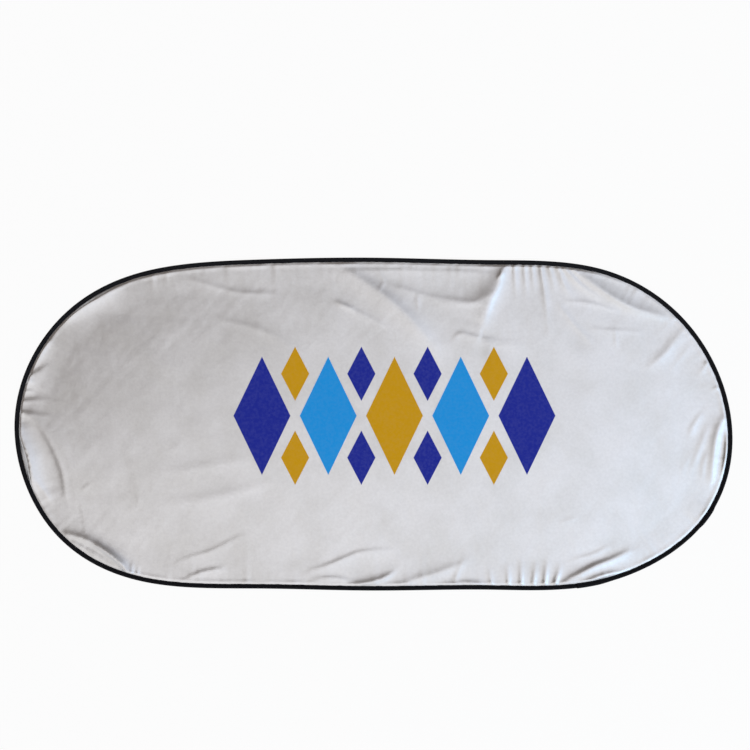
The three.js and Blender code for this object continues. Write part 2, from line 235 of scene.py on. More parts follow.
# %% Folds of the cloth
# Each fold: corners of the crest in mm, height, reach to the left, reach to the right
RIM_FOLDS = {
    "left flap": ([(-645, 0), (-634, -34), (-625, -62), (-620, -91), (-617, -120)], 8, 20, 4.5),
    "left sweep": (
        [(-628, 22), (-600, 7), (-578, -18), (-556, -54), (-541, -91), (-534, -132)], 2.4, 60, 24),
    "left sweep line": (
        [(-640, 22), (-617, 9), (-597, -14), (-576, -54), (-563, -91), (-558, -130)], 2, 14, 4.6),
    "left inner flank": ([(-612, -98), (-601, -116), (-587, -136)], 2, 7, 7),
    "left upper roll": ([(-616, 107), (-603, 131), (-587, 150)], 2.6, 4, 12),
    "lower left shoulder": (
        [(-554, -199), (-521, -209), (-492, -224), (-467, -242),
         (-449, -259), (-438, -279), (-427, -305), (-416, -330)], 4.6, 8.5, 7),
    "lower left shoulder end": ([(-500, -219), (-476, -235), (-455, -254), (-442, -274)], 3, 3.8, 6),
    "lower left crescent": ([(-543, -214), (-514, -230), (-485, -247), (-463, -261)], 1.6, 4.5, 5),
    "right ridge": ([(639, 16), (628, -2), (621, -25), (617, -51), (614, -76), (612, -102)], 3.4, 8, 13),
    "right flap": ([(643, -20), (641, -42), (639, -65), (634, -91)], 6, 2.6, 4.4),
    "right second": ([(606, 0), (596, -29), (587, -53), (577, -80)], 1.1, 9, 8),
    "right fork": ([(603, -53), (597, -76), (596, -96)], 0.9, 4, 6),
    "right third": ([(594, 20), (581, 0), (572, -20)], 0.9, 9, 5),
    "right faint": ([(576, -51), (565, -71), (557, -91)], 0.4, 6, 6),
    "right upper shoulder": ([(563, 170), (541, 145), (525, 125), (501, 105)], 1.5, 13, 11),
    "right upper stripe": ([(574, 141), (556, 120), (539, 98)], 0.4, 7, 5),
    "lower right ridge": ([(340, -288), (371, -272), (400, -257), (431, -245), (463, -230)], 3.1, 6.5, 13),
    "lower right edge": ([(367, -296), (393, -283), (422, -272), (451, -268)], 3.4, 8, 5),
    "lower right faint": ([(362, -245), (396, -236), (427, -221)], 0.9, 3, 8),
    "bottom blot": ([(-46, -292), (-14, -288), (15, -281), (35, -270)], 2.8, 8, 5),
    "bottom band": ([(30, -296), (66, -285), (113, -271), (164, -252)], 1.9, 12, 11),
    "bottom notch": ([(113, -292), (148, -289), (175, -288), (208, -292)], 1.6, 6, 3),
    "upper right lens": ([(374, 276), (403, 250), (436, 227), (476, 207), (530, 192)], 4.2, 14, 9),
    "upper left lens": ([(-561, 187), (-514, 219), (-463, 247)], 3, 5, 14),
}
PUCKERS = {
    "left one": ([(-625, 85), (-603, 98), (-576, 111)], 2.8, 4.6, 40),
    "left two": ([(-625, 60), (-612, 58)], 1.2, 2.5, 4),
    "left three": ([(-634, 42), (-596, 44), (-543, 36)], 1.1, 4.5, 16),
    "left four": ([(-634, 22), (-597, 16), (-568, 15)], 0.7, 3.6, 12),
    "left five": ([(-623, 78), (-610, 76)], 1.2, 2.5, 4),
    "lower left one": ([(-438, -272), (-436, -247)], 2.6, 3.4, 3.4),
    "lower left two": ([(-428, -276), (-427, -252)], 1.8, 3, 3),
    "ferrule tuck": ([(605, -156), (590, -174)], 2.2, 3, 4),
    "bottom slant": ([(148, -279), (160, -252), (173, -227)], 1.1, 5, 8),
    "bottom one": ([(213, -288), (209, -259)], 1.8, 4, 5),
    "bottom two": ([(244, -288), (242, -247)], 2.4, 4.5, 5),
    "bottom three": ([(267, -288), (267, -241)], 2.6, 4.5, 5.5),
    "bottom four": ([(289, -288), (295, -243)], 2.4, 4, 5),
    "bottom five": ([(310, -288), (315, -239)], 3.2, 5, 5),
    "bottom six": ([(329, -288), (342, -248)], 3.2, 7, 5),
    "top one": ([(255, 286), (259, 225)], 2.2, 5, 4.5),
    "top two": ([(273, 286), (278, 219)], 2, 4.5, 4.5),
    "top three": ([(287, 286), (293, 232)], 1.8, 4, 4),
    "top four": ([(302, 286), (311, 225), (318, 143)], 2.4, 6.5, 4.5),
    "top five": ([(318, 285), (331, 236)], 2.4, 5, 5),
    "fan one": ([(333, 285), (349, 247), (369, 223)], 2.6, 5, 7),
    "fan two": ([(345, 283), (374, 252), (411, 227), (451, 203)], 3.2, 6, 7),
    "fan three": ([(360, 281), (393, 252), (422, 230)], 2.4, 5, 6),
    "top left one": ([(-402, 281), (-396, 239)], 1.4, 5, 5),
    "top left two": ([(-374, 283), (-373, 250)], 1.2, 5, 5),
    "right upper one": ([(606, 114), (596, 98), (587, 83)], 1.4, 5, 5),
    "right upper two": ([(621, 65), (608, 60)], 1.2, 4, 4),
}
CREASES = {
    "top streak": ([(238, 286), (226, 254), (209, 218), (199, 181)], 4.2, 12, 32),
    "top streak edge": ([(237, 283), (226, 263)], 2, 4, 3.4),
    "top pane edge": ([(26, 252), (66, 241), (106, 230), (157, 223), (209, 216)], 0.6, 6, 12),
    "top pane wedge": ([(124, 219), (175, 219), (218, 236)], 1, 17, 10),
    "top diagonal": ([(-57, 283), (12, 238), (63, 194), (110, 141)], 3.6, 16, 26),
    "top second diagonal": ([(-64, 221), (-21, 199), (23, 176)], 0.7, 7, 12),
    "top fold line": ([(146, 156), (159, 164), (193, 156), (229, 149), (269, 143)], 0.9, 4, 10),
    "top rim roll": ([(-43, 277), (48, 279), (139, 277), (202, 274)], 0.7, 5, 10),
    "top small one": ([(10, 276), (19, 259), (10, 241)], 0.45, 3, 4),
    "top small two": ([(79, 232), (82, 205)], 0.6, 3, 3),
    "top small three": ([(-66, 221), (-37, 208)], 0.9, 3, 5),
    "top upright": ([(211, 150), (218, 91)], 1, 4, 8),
    "fan crossing": ([(349, 221), (385, 219), (414, 212), (440, 205)], 0.8, 5, 3.5),
    "fan lower": ([(338, 214), (365, 179), (393, 150)], 1, 5, 6),
    "upper right small": ([(393, 172), (440, 169), (483, 167)], 0.6, 4, 5),
    "upper right tick": ([(438, 169), (441, 140)], 0.6, 3, 4),
    "bottom left long": (
        [(-351, -247), (-320, -237), (-296, -230), (-271, -218), (-242, -203)], 0.7, 3.4, 12),
    "bottom left short": ([(-340, -279), (-307, -267), (-273, -261)], 1.2, 3.6, 9),
    "bottom middle long": ([(-113, -265), (-82, -255), (-53, -243), (-24, -232), (24, -227)], 1.2, 4, 12),
    "bottom middle short": ([(-111, -283), (-77, -279), (-46, -283)], 1.3, 4, 5),
    "left faint": ([(-373, -143), (-305, -135), (-251, -123), (-188, -105)], 0.7, 9, 15),
    "left fainter": ([(-378, -85), (-315, -78), (-224, -62)], 0.6, 10, 15),
    "left swell": ([(-470, 200), (-480, 0), (-460, -220)], 2.2, 300, 160),
    "left upright": ([(-449, -31), (-438, -71), (-429, -109), (-425, -143)], 0.6, 3.5, 4),
    "left second upright": ([(-440, -22), (-425, -69), (-416, -120)], 0.4, 3, 4),
    "left tick": ([(-527, -120), (-510, -107)], 0.4, 3, 4),
    "left small tick": ([(-362, -45), (-349, -38)], 0.7, 3, 3),
    "right small tick": ([(338, -179), (371, -169)], 0.5, 3, 4),
    "hidden long": ([(-329, 261), (-249, 239), (-180, 236)], 0.6, 6, 9),
    "hidden slant": ([(-287, 192), (-202, 169), (-133, 131)], 0.6, 10, 12),
}
LINE_STEPS = 10
CREST_ROUND = 0.3               # how far the crest is rounded, as a share of the reach
FLANK = 1.6                     # how fast the sides fall, over one reach
print(f"{len(RIM_FOLDS)} folds, {len(PUCKERS)} puckers, {len(CREASES)} creases")

# %% [markdown]
# A smooth line through a few corners, and the distance to it, is all a ridge needs. The
# cloth is thin and crisp: each side of a ridge is nearly straight, the crest between
# them is tight, and the foot runs out softly. A fold fades towards its two ends. A
# pucker starts at full height where the seam holds it, and widens and fades inwards.

# %% Ridge heights


def smooth_line(corners):
    """A Catmull-Rom line through the corners, in metres."""
    knots = np.array(corners, float) * MM
    padded = np.vstack([2 * knots[0] - knots[1], knots, 2 * knots[-1] - knots[-2]])
    t = np.linspace(0, 1, LINE_STEPS, endpoint=False)[:, None]
    spans = []
    for a, b, c, d in zip(padded, padded[1:], padded[2:], padded[3:]):
        spans.append(0.5 * (2 * b + (c - a) * t + (2 * a - 5 * b + 4 * c - d) * t**2
                            + (3 * b - a - 3 * c + d) * t**3))
    return np.vstack([*spans, knots[-1:]])


def ridge(x, y, corners, height, left, right, from_seam):
    """Height of one ridge at each point."""
    line = smooth_line(corners)
    starts, steps = line[:-1], np.diff(line, axis=0)
    result = np.zeros_like(x)
    margin = 4 * max(left, right) * MM
    near = ((x > line[:, 0].min() - margin) & (x < line[:, 0].max() + margin)
            & (y > line[:, 1].min() - margin) & (y < line[:, 1].max() + margin))
    if not near.any():
        return result
    px, py = x[near, None], y[near, None]
    lengths = (steps**2).sum(1)
    along = np.clip(((px - starts[:, 0]) * steps[:, 0] + (py - starts[:, 1]) * steps[:, 1]) / lengths, 0, 1)
    off_x = px - starts[:, 0] - along * steps[:, 0]
    off_y = py - starts[:, 1] - along * steps[:, 1]
    away = np.hypot(off_x, off_y)
    best = away.argmin(axis=1)
    pick = (np.arange(len(best)), best)
    side = steps[best, 0] * off_y[pick] - steps[best, 1] * off_x[pick]
    reach = np.where(side > 0, left, right) * MM
    position = (best + along[pick]) / len(steps)
    if from_seam:
        reach = reach * (0.65 + 0.8 * position)
        fade = (1 - position) ** 1.3
    else:
        fade = np.sin(math.pi * (0.06 + 0.88 * position)) ** 0.6
    fall = np.hypot(away[pick] / reach, CREST_ROUND) - CREST_ROUND
    result[near] = height * MM * fade * np.exp(-FLANK * fall)
    return result


def ridges(x, y, group, from_seam=False):
    return sum(ridge(x, y, *fold, from_seam) for fold in group.values())


print(f"highest ridge {max(fold[1] for fold in RIM_FOLDS.values())} mm")

# %% [markdown]
# Between the folds the cloth is never quite flat: it has been twisted and packed many
# times. A few sine waves in random directions, with a fixed seed, give that slow swell.

# %% Slow swell of the cloth
SWELL_SEED = 7
# Length and height in mm, and how many waves of the kind
SWELL_WAVES = [(230, 0.09, 5), (110, 0.035, 7), (48, 0.019, 9), (24, 0.01, 12)]


def swell(x, y):
    random = np.random.default_rng(SWELL_SEED)
    total = np.zeros_like(x)
    for length, height, count in SWELL_WAVES:
        for _ in range(count):
            turn, phase = random.uniform(0, 2 * math.pi, 2)
            stretch = random.uniform(0.7, 1.4)
            wave = 2 * math.pi / (length * MM * stretch)
            total += height * MM * np.sin(wave * (x * math.cos(turn) + y * math.sin(turn)) + phase)
    return total


print(f"swell of {sum(count for _, _, count in SWELL_WAVES)} waves")

# %% [markdown]
# ## Laying out the cloth
# Even triangles bend evenly. Rings of points follow the rim, where the puckers are
# small, and a triangular lattice fills the rest, finer near the rim and coarser in the
# middle, where the cloth is plain. A Delaunay triangulation joins them, and because the
# outline is convex it needs no boundary edges.

# %% Points of the cloth
RING_DEPTHS = [CLOTH_EDGE, 5.4 * MM, BINDING_WIDTH, 10.6 * MM, 13.2 * MM, 16.2 * MM]
RING_STEP = 3.4 * MM
FINE_STEP = 3.7 * MM
COARSE_STEP = 8 * MM
FINE_DEPTH = 145 * MM


def lattice(step, nearest, farthest):
    """Points of a triangular lattice whose depth lies between two values."""
    rows = math.ceil(WIDTH / (step * math.sqrt(0.75)) / 2)
    columns = math.ceil(LENGTH / step / 2)
    row, column = np.mgrid[-rows:rows + 1, -columns:columns + 1]
    x = (column + 0.5 * (row % 2)).ravel() * step
    y = row.ravel() * step * math.sqrt(0.75)
    depth = rim_place(x, y)[1]
    keep = (depth > nearest) & (depth < farthest)
    return x[keep], y[keep]


ring_count = round(PERIMETER / RING_STEP)
parts = []
for number, ring_depth in enumerate(RING_DEPTHS):
    shares = (np.arange(ring_count) + 0.5 * (number % 2)) / ring_count
    parts.append(rim_points(shares, ring_depth))
parts.append(lattice(FINE_STEP, RING_DEPTHS[-1] + 0.6 * FINE_STEP, FINE_DEPTH))
parts.append(lattice(COARSE_STEP, FINE_DEPTH + 0.5 * FINE_STEP, 1))
cloth_x, cloth_y = (np.concatenate(values) for values in zip(*parts))
flat_points, _, triangles, *_ = delaunay_2d_cdt(list(zip(cloth_x, cloth_y)), [], [], 0, 1e-7)
cloth_x, cloth_y = np.array([tuple(point) for point in flat_points]).T
cloth_share, cloth_depth = rim_place(cloth_x, cloth_y)

# %% [markdown]
# The cloth leaves the tape level, at the height of the hoop's middle, and comes down to
# rest just above the table. Folds start where the tape lets go of it.

# %% Shape of the cloth
SETTLE_DEPTH = 60 * MM
FREE_START = BINDING_WIDTH + 0.3 * MM
FREE_RUN = 2.6 * MM
ROLL_HEIGHT = 0.8 * MM          # the seam draws the cloth up into a small roll beside the tape
ROLL_DEPTH = BINDING_WIDTH + 3.6 * MM
ROLL_REACH = 3.2 * MM
GATHER_HEIGHT = 0.32 * MM       # and gathers it a little along its length
GATHER_REACH = 26 * MM
GATHER_LENGTHS = [47, 29, 21, 14.5]  # in mm
SOFT_FLOOR = 1 * MM             # below this the cloth is eased off, so that it never meets the table
ROLL_SEED = 5


def wobble(way, lengths, seed):
    """A smooth random wave along the rim, between about -1 and 1, from lengths in mm."""
    random = np.random.default_rng(seed)
    phases = [random.uniform(0, 2 * math.pi) for _ in lengths]
    return sum(np.sin(2 * math.pi * way / (length * MM) + phase)
               for length, phase in zip(lengths, phases)) / len(lengths)


def beside_tape(share, depth):
    """Height of the roll and the gathers that the seam leaves in the cloth."""
    way = share * PERIMETER
    roll = 0.7 + 0.5 * wobble(way, [160, 83, 41], ROLL_SEED)
    strength = 0.5 + wobble(way, [310, 170], ROLL_SEED + 2) ** 2
    gather = wobble(way, GATHER_LENGTHS, ROLL_SEED + 1) * strength
    return (ROLL_HEIGHT * roll * np.exp(-(((depth - ROLL_DEPTH) / ROLL_REACH) ** 2))
            + GATHER_HEIGHT * gather * np.exp(-((depth - BINDING_WIDTH) / GATHER_REACH)))


def cloth_height(x, y, share, depth):
    """Height of the middle of the cloth."""
    settled = smooth_step(FREE_START, SETTLE_DEPTH, depth)
    base = hoop_height(share) + (PANEL_HEIGHT - hoop_height(share)) * settled
    free = smooth_step(FREE_START, FREE_START + FREE_RUN, depth)
    raised = ridges(x, y, RIM_FOLDS) + ridges(x, y, PUCKERS, from_seam=True) + ridges(x, y, CREASES)
    raised = raised + beside_tape(share, depth)
    height = base + free * raised + swell(x, y) * settled
    soft, lowest = SOFT_FLOOR, CLOTH_THICKNESS
    lifted = lowest + (soft - lowest) * np.exp((height - soft) / (soft - lowest))
    return np.where(height < soft, lifted, height)


cloth_z = cloth_height(cloth_x, cloth_y, cloth_share, cloth_depth)


def new_object(name, points, faces, smooth=True):
    """A mesh object, with its place in its mesh."""
    mesh = bpy.data.meshes.new(name)
    mesh.from_pydata(points, [], faces)
    mesh.update()
    mesh.polygons.foreach_set("use_smooth", [smooth] * len(mesh.polygons))
    return in_scene(name, mesh)


cloth = new_object(
    "silver_panel", np.stack([cloth_x, cloth_y, cloth_z], 1).tolist(), [list(face) for face in triangles]
)
print(f"cloth lies between {cloth_z.min() / MM:.2f} and {cloth_z.max() / MM:.2f} mm above the table")

# %% [markdown]
# The panel is given its thickness with Solidify, downwards from the silver side, and
# its underside gets a second material: only the top of the cloth is coated.

# %% Thickness of the cloth
thickness = cloth.modifiers.new("thickness", "SOLIDIFY")
thickness.thickness = CLOTH_THICKNESS
thickness.offset = -1
thickness.material_offset = 1
thickness.material_offset_rim = 0
print(f"cloth {CLOTH_THICKNESS / MM} mm thick")

# %% [markdown]
# ## The tape
# The edging is one length of woven tape, folded over the hoop like a long U that is open
# towards the cloth. Its section changes on the way round: it swells over the ferrule,
# and at the lap its first end lies outside its last. A plain sweep can't do that, so
# each station gets a section of its own and the sections are joined into one skin.

# %% Section of the tape
CORNER_RADIUS = 1.35 * MM
CORNER_STEPS = 4
TAPE_WAVE_SEED = 3


def tape_section(swelling, layer, wander, lift):
    """Corners (depth, height above the middle) of the folded tape, all the way round."""
    growth = swelling + layer
    half = POCKET_HALF + growth
    pocket_end = TAPE_THICKNESS + GAP + BAND_THICKNESS + POCKET_SLACK
    pinch = pocket_end + PINCH_RUN
    edge = BINDING_WIDTH + wander
    leg = LEG_HALF + layer + lift
    turns = np.linspace(0, math.pi / 2, CORNER_STEPS + 1)
    outer_corner = [
        (CORNER_RADIUS * (1 - math.cos(a)) - growth, half - CORNER_RADIUS * (1 - math.sin(a)))
        for a in turns
    ]
    outside = outer_corner + [
        (pocket_end, half),
        (pocket_end + 0.3 * PINCH_RUN, half - 0.22 * (half - leg)),
        (pocket_end + 0.7 * PINCH_RUN, half - 0.78 * (half - leg)),
        (pinch, leg),
        (0.5 * (pinch + edge), leg - 0.05 * TAPE_THICKNESS),
        (edge - 0.25 * TAPE_THICKNESS, leg),
        (edge, leg - 0.3 * TAPE_THICKNESS),
    ]
    inner_radius = CORNER_RADIUS - TAPE_THICKNESS
    inner_corner = [
        (TAPE_THICKNESS - growth + inner_radius * (1 - math.cos(a)),
         half - TAPE_THICKNESS - inner_radius * (1 - math.sin(a)))
        for a in turns[::2]
    ]
    inside = [
        (edge, leg - 0.8 * TAPE_THICKNESS),
        (edge - 0.25 * TAPE_THICKNESS, leg - TAPE_THICKNESS),
        (pinch, leg - TAPE_THICKNESS),
        (pocket_end, half - TAPE_THICKNESS),
    ] + inner_corner[::-1]
    upper = outside + inside
    lower = [(depth, -height) for depth, height in upper]
    return np.array(lower + upper[::-1])


TAPE_STEP = 2.6 * MM
tape_length = PERIMETER + LAP_LENGTH
station_count = round(tape_length / TAPE_STEP)
stations = LAP_START + np.linspace(0, tape_length / PERIMETER, station_count)
settled = LAP_START + (LAP_LENGTH + LAP_RAMP + TAPE_THICKNESS) / PERIMETER
layers = np.where(stations < settled, GROWTH * lap_share(stations), 0)
swellings = GROWTH * ferrule_share(stations)

way = stations * PERIMETER
free_edge = np.where(layers > 0, 0, 1)
wanders = 0.45 * MM * wobble(way, [61, 37, 23, 14], TAPE_WAVE_SEED) * free_edge
lifts = 0.12 * MM * np.abs(wobble(way, [31, 17, 11], TAPE_WAVE_SEED + 1)) * free_edge
sections = np.array([
    tape_section(*values) for values in zip(swellings, layers, wanders, lifts)
])
row_share = stations[:, None]
tape_x, tape_y = rim_points(np.broadcast_to(row_share, sections.shape[:2]), sections[:, :, 0])
tape_z = hoop_height(row_share) + sections[:, :, 1]
tape_points = np.stack([tape_x, tape_y, tape_z], -1).reshape(-1, 3)
print(f"tape: {station_count} stations of {sections.shape[1]} corners")

# %% [markdown]
# The skin is a grid of quads, closed by one many-sided face at each cut end. It gets a
# UV map in metres, along and across the tape, so that the ribs of the weave follow it.

# %% The tape's mesh
count = sections.shape[1]
row, side = np.mgrid[0:station_count - 1, 0:count]
following = (side + 1) % count
quads = np.stack([
    row * count + side, row * count + following, (row + 1) * count + following, (row + 1) * count + side,
], -1).reshape(-1, 4)
first_end = list(range(count))[::-1]
last_end = list(range((station_count - 1) * count, station_count * count))
binding = new_object("folded_tape", tape_points.tolist(), quads.tolist() + [first_end, last_end])

across = np.concatenate([[0], np.cumsum(np.hypot(*np.diff(sections[station_count // 2], axis=0).T))])
along = np.arange(station_count) * TAPE_STEP
uv_points = np.stack(np.broadcast_arrays(along[:, None], across[None, :]), -1).reshape(-1, 2)
tape_uv = binding.data.uv_layers.new(name="tape")
corner_vertices = np.empty(len(binding.data.loops), int)
binding.data.loops.foreach_get("vertex_index", corner_vertices)
tape_uv.data.foreach_set("uv", uv_points[corner_vertices].ravel())
print(f"tape: {len(binding.data.polygons)} faces")

# %% [markdown]
# ## Stitches
# A lockstitch seam runs round the tape on both sides. Geometry Nodes place it: the seam
# line is resampled at the stitch pitch, and each point carries one short plump thread
# turned along the line. A little random turn keeps it from looking ruled.

# %% Seam line
SEAM_DEPTH = 6.6 * MM
SEAM_STEP = 6 * MM
THREAD_RADIUS = 0.17 * MM
STITCH_PITCH = 3 * MM
STITCH_LENGTH = 2.3 * MM


def seam_curve():
    """One closed line on the upper leg of the tape and one on the lower."""
    data = bpy.data.curves.new("seam_line", "CURVE")
    data.dimensions = "3D"
    steps = round(PERIMETER / SEAM_STEP)
    shares = np.arange(steps) / steps
    x, y = rim_points(shares, SEAM_DEPTH)
    rise = LEG_HALF + GROWTH * lap_share(shares) + 0.4 * THREAD_RADIUS
    for upward in (1, -1):
        z = hoop_height(shares) + upward * rise
        line = data.splines.new("POLY")
        line.points.add(steps - 1)
        line.points.foreach_set("co", np.stack([x, y, z, np.ones(steps)], 1).ravel())
        line.use_cyclic_u = True
    return in_scene("seam_line", data)


print(f"seam {SEAM_DEPTH / MM:.1f} mm inside the rim")

# %% [markdown]
# Node trees are built in code here. One small function adds a node with its settings and
# links its inputs: each is a plain value, a socket, or a node, whose first live output is
# then meant. Another turns an sRGB hex colour into the linear one that a shader wants. A
# third makes a material from the shader that a painter function returns.

# %% Helpers for nodes
MATH = "ShaderNodeMath"
VECTOR_MATH = "ShaderNodeVectorMath"
MIX = "ShaderNodeMix"           # for colours, socket 0 is the factor and 6 and 7 are the two colours
RANGE = "ShaderNodeMapRange"
NOISE = "ShaderNodeTexNoise"
BUMP = "ShaderNodeBump"
COATING = "ShaderNodeBsdfPrincipled"


def linear(code):
    """An sRGB hex colour as a linear colour."""
    values = [int(code[i:i + 2], 16) / 255 for i in (1, 3, 5)]
    return tuple(v / 12.92 if v <= 0.04045 else ((v + 0.055) / 1.055) ** 2.4 for v in values) + (1.0,)


def add_node(tree, kind, inputs=(), **settings):
    """Adds one node. Inputs are given by name or number, or in their order."""
    node = tree.nodes.new(kind)
    for key, value in settings.items():
        setattr(node, key, value)
    for key, value in inputs.items() if isinstance(inputs, dict) else enumerate(inputs):
        if isinstance(value, bpy.types.Node):
            value = next(output for output in value.outputs if output.enabled)
        if isinstance(value, bpy.types.NodeSocket):
            tree.links.new(value, node.inputs[key])
        else:
            node.inputs[key].default_value = value
    return node


def finished(name, painter, *values):
    """A material with the shader that the painter builds in its tree."""
    material = bpy.data.materials.new(name)
    material.use_nodes = True
    tree = material.node_tree
    tree.nodes.clear()
    add_node(tree, "ShaderNodeOutputMaterial", (painter(tree, *values),))
    return material


print(f"mid grey is {linear('#808080')[0]:.3f} to a shader")

# %% [markdown]
# The sizes of the stitch tree are named inputs, so it could sew any seam. The thread is a
# ball with few sides, stretched to the length of a stitch. The tree ends by making the
# copies real, because a model file keeps no instances.

# %% Stitch tree
STITCH_INPUTS = {
    "Line": "Geometry", "Pitch": "Float", "Stitch length": "Float", "Thread radius": "Float",
    "Turn": "Float", "Seed": "Int", "Thread": "Material",
}
THREAD_SIDES = 6
THREAD_RINGS = 4


def stitch_tree():
    tree = bpy.data.node_groups.new("stitches_along_line", "GeometryNodeTree")
    for name, kind in STITCH_INPUTS.items():
        tree.interface.new_socket(name, in_out="INPUT", socket_type="NodeSocket" + kind)
    tree.interface.new_socket("Stitches", in_out="OUTPUT", socket_type="NodeSocketGeometry")
    given = add_node(tree, "NodeGroupInput").outputs
    spaced = add_node(tree, "GeometryNodeResampleCurve",
                      {"Curve": given["Line"], "Length": given["Pitch"]}, mode="LENGTH")
    ball = add_node(tree, "GeometryNodeMeshUVSphere",
                    {"Segments": THREAD_SIDES, "Rings": THREAD_RINGS, "Radius": 1.0})
    half = add_node(tree, MATH, (given["Stitch length"], 0.5), operation="MULTIPLY")
    size = add_node(tree, "ShaderNodeCombineXYZ", (given["Thread radius"], given["Thread radius"], half))
    thread = add_node(tree, "GeometryNodeTransform", {"Geometry": ball, "Scale": size})
    tangent = add_node(tree, "GeometryNodeInputTangent")
    aligned = add_node(tree, "FunctionNodeAlignRotationToVector", {"Vector": tangent}, axis="Z")
    less = add_node(tree, MATH, (given["Turn"], -1.0), operation="MULTIPLY")
    chance = add_node(tree, "FunctionNodeRandomValue",
                      {2: less, 3: given["Turn"], "Seed": given["Seed"]}, data_type="FLOAT")
    spin = add_node(tree, "FunctionNodeAxisAngleToRotation", {"Axis": (0, 0, 1), "Angle": chance})
    turned = add_node(tree, "FunctionNodeRotateRotation",
                      {"Rotation": aligned, "Rotate By": spin}, rotation_space="GLOBAL")
    placed = add_node(tree, "GeometryNodeInstanceOnPoints",
                      {"Points": spaced, "Instance": thread, "Rotation": turned})
    real = add_node(tree, "GeometryNodeRealizeInstances", (placed,))
    smooth = add_node(tree, "GeometryNodeSetShadeSmooth", (real,))
    painted = add_node(tree, "GeometryNodeSetMaterial", {"Geometry": smooth, "Material": given["Thread"]})
    add_node(tree, "NodeGroupOutput", {"Stitches": painted})
    return tree


print("inputs of the stitch tree:", ", ".join(STITCH_INPUTS))

# %% [markdown]
# ## The print
# The print is screen-printed ink that lies in the weave. It is a row of tall lozenges
# with small ones in the notches between. It could be cut from film, but as ink it is best
# drawn in the cloth's own material. A point is inside a lozenge where its distances from
# the middle, as shares of the half width and half height, add up to less than one. A
# ping-pong node folds the way along the row back on itself, and so repeats the shape.

# %% Lozenge print
PRINT_CENTRE = (38 * MM, 15 * MM, 0)
PRINT_PITCH = 120 * MM
LARGE_HALF = (52 * MM, 108 * MM)
SMALL_HALF = (26 * MM, 50 * MM)
SMALL_ROW = 76 * MM
LARGE_COLOURS = ["#D79F08", "#1F9BEA", "#1D2A9A"]  # from the middle outwards
SMALL_COLOURS = ["#1D2A9A", "#D79F08"]
INK_EDGE = 0.9 * MM


def lozenge_row(tree, x, y, rank, half, colours):
    """Mask and colour of a row of lozenges, which ends where the list of colours does."""
    place = add_node(tree, "ShaderNodeCombineXYZ", (x, y))
    shares = (1 / half[0], 1 / half[1], 0)
    away = add_node(tree, VECTOR_MATH, (place, shares), operation="DOT_PRODUCT")
    edge = INK_EDGE / half[0]
    inside = add_node(tree, RANGE, {"Value": away, "From Min": 1.0, "From Max": 1 - edge})
    in_row = add_node(tree, MATH, (rank, len(colours) - 0.5), operation="LESS_THAN")
    mask = add_node(tree, MATH, (inside, in_row), operation="MULTIPLY")
    step = 1 / len(colours)
    along = add_node(tree, MATH, (rank, step, step / 2), operation="MULTIPLY_ADD")
    ramp = add_node(tree, "ShaderNodeValToRGB", (along,))
    ramp.color_ramp.interpolation = "CONSTANT"
    while len(ramp.color_ramp.elements) < len(colours):
        ramp.color_ramp.elements.new(0.5)
    for number, (element, code) in enumerate(zip(ramp.color_ramp.elements, colours)):
        element.position = number * step
        element.color = linear(code)
    return mask, ramp


def lozenge_print(tree, position):
    """Mask and colour of the whole print at a position on the cloth."""
    centred = add_node(tree, VECTOR_MATH, (position, PRINT_CENTRE), operation="SUBTRACT")
    away = add_node(tree, VECTOR_MATH, (centred,), operation="ABSOLUTE")
    x, y, _ = add_node(tree, "ShaderNodeSeparateXYZ", (away,)).outputs
    steps = add_node(tree, MATH, (x, PRINT_PITCH), operation="DIVIDE")
    large_rank = add_node(tree, MATH, (steps,), operation="ROUND")
    small_rank = add_node(tree, MATH, (steps,), operation="FLOOR")
    large_x = add_node(tree, MATH, (x, PRINT_PITCH / 2), operation="PINGPONG")
    small_x = add_node(tree, MATH, (PRINT_PITCH / 2, large_x), operation="SUBTRACT")
    past_row = add_node(tree, MATH, (y, SMALL_ROW), operation="SUBTRACT")
    small_y = add_node(tree, MATH, (past_row,), operation="ABSOLUTE")
    large, large_colour = lozenge_row(tree, large_x, y, large_rank, LARGE_HALF, LARGE_COLOURS)
    small, small_colour = lozenge_row(tree, small_x, small_y, small_rank, SMALL_HALF, SMALL_COLOURS)
    is_small = add_node(tree, MATH, (small, 0.0), operation="GREATER_THAN")
    colour = add_node(tree, MIX, {0: is_small, 6: large_colour, 7: small_colour}, data_type="RGBA")
    return add_node(tree, MATH, (large, small), operation="MAXIMUM"), colour


print(f"print {(2 * len(LARGE_COLOURS) - 2) * PRINT_PITCH + 2 * LARGE_HALF[0]:.3f} m long")

# %% [markdown]
# ## Silver cloth
# The panel is polyester taffeta with an aluminium-pigment coating. The coating makes it
# half a metal: it takes its light from the room in a broad soft gloss, and it dulls
# where it has been creased. The threads of the weave are 0.2 mm apart, too fine to show,
# so they are drawn ten times as coarse. Noise in three sizes gives worn patches, a fine
# speckle and a slight crumple. The ink is rougher, and no metal at all.

